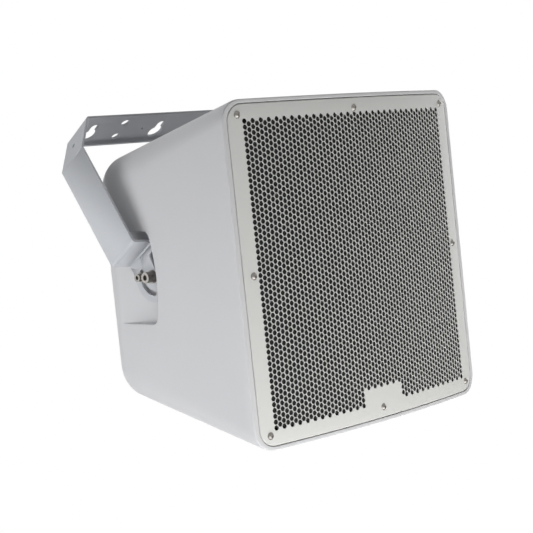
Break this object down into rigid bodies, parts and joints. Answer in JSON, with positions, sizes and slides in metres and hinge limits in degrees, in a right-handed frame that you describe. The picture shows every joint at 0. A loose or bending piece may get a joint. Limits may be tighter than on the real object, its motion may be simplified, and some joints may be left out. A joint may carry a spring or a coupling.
{
  "type": "outdoor patio speaker",
  "caption": "Weatherproof speaker in a tapered moulded cabinet with a bowed perforated grille, hung from a folded U bracket that lets it tilt.",
  "frame": {"origin": "centre of the bracket's flat mounting face, which lies against the ceiling or eave", "axes": "+Z out of the mounting face into the ceiling, X along the bracket's base, +Y to the edge with the stiffening lip, which the speaker's back faces"},
  "size_m": [0.3978, 0.4335, 0.4988],
  "materials": {
    "bracket_coat": "satin powder coat",
    "cabinet_shell": "finely textured moulding",
    "grille_coat": "satin powder coat",
    "stainless": "plain",
    "zinc_steel": "zinc plated",
    "backing_cloth": "woven, black",
    "black_plastic": "satin",
    "driver_frame": "textured black",
    "ferrite": "ground",
    "gasket_rubber": "matt",
    "cone_pulp": "coated pulp",
    "copper": "enamelled wire",
    "spider_cloth": "impregnated cloth",
    "circuit_board": "solder mask",
    "capacitor_wrap": "film wrap",
    "transformer_iron": "varnished",
    "panel_steel": "satin powder coat",
    "terminal_plastic": "natural",
    "spacer_plastic": "plain"
  },
  "bodies": {
    "bracket": {"u_bracket": "bracket_coat"},
    "cabinet": {"cabinet": "cabinet_shell", "grille": "grille_coat", "grille_screws": "stainless", "pivot_bolt_left": "stainless", "pivot_bolt_right": "stainless", "pivot_washers_left": "stainless", "pivot_washers_right": "stainless", "lock_bolt_left": "stainless", "lock_bolt_right": "stainless", "lock_washer_left": "stainless", "lock_washer_right": "stainless", "panel_screws": "stainless", "baffle_screws": "zinc_steel", "woofer_screws": "zinc_steel", "mounting_plate_left": "zinc_steel", "mounting_plate_right": "zinc_steel", "top_plate": "zinc_steel", "rear_yoke": "zinc_steel", "grille_backing": "backing_cloth", "baffle": "black_plastic", "horn": "black_plastic", "cable_gland": "black_plastic", "gland_nut": "black_plastic", "woofer_frame": "driver_frame", "compression_driver": "driver_frame", "magnet": "ferrite", "woofer_gasket": "gasket_rubber", "surround": "gasket_rubber", "panel_gasket": "gasket_rubber", "crossover_coils": "copper", "spider": "spider_cloth", "crossover_board": "circuit_board", "crossover_capacitors": "capacitor_wrap", "line_transformer": "transformer_iron", "input_panel": "panel_steel", "terminal_block": "terminal_plastic", "pivot_spacer_left": "spacer_plastic", "pivot_spacer_right": "spacer_plastic"},
    "cone": {"woofer_cone": "cone_pulp", "voice_coil": "copper"}
  },
  "joints": [
    {"name": "cabinet_tilt", "type": "hinge", "parent": "bracket", "child": "cabinet", "pos_m": [0, 0, -0.223], "axis": [1, 0, 0], "range_deg": [-7, 17]},
    {"name": "cone_travel", "type": "slide", "parent": "cabinet", "child": "cone", "axis": [0, -0.8415, -0.5402], "range_m": [-0.005, 0.005], "stiffness_N_per_m": 3500, "deforming": ["surround", "spider"]}
  ]
}
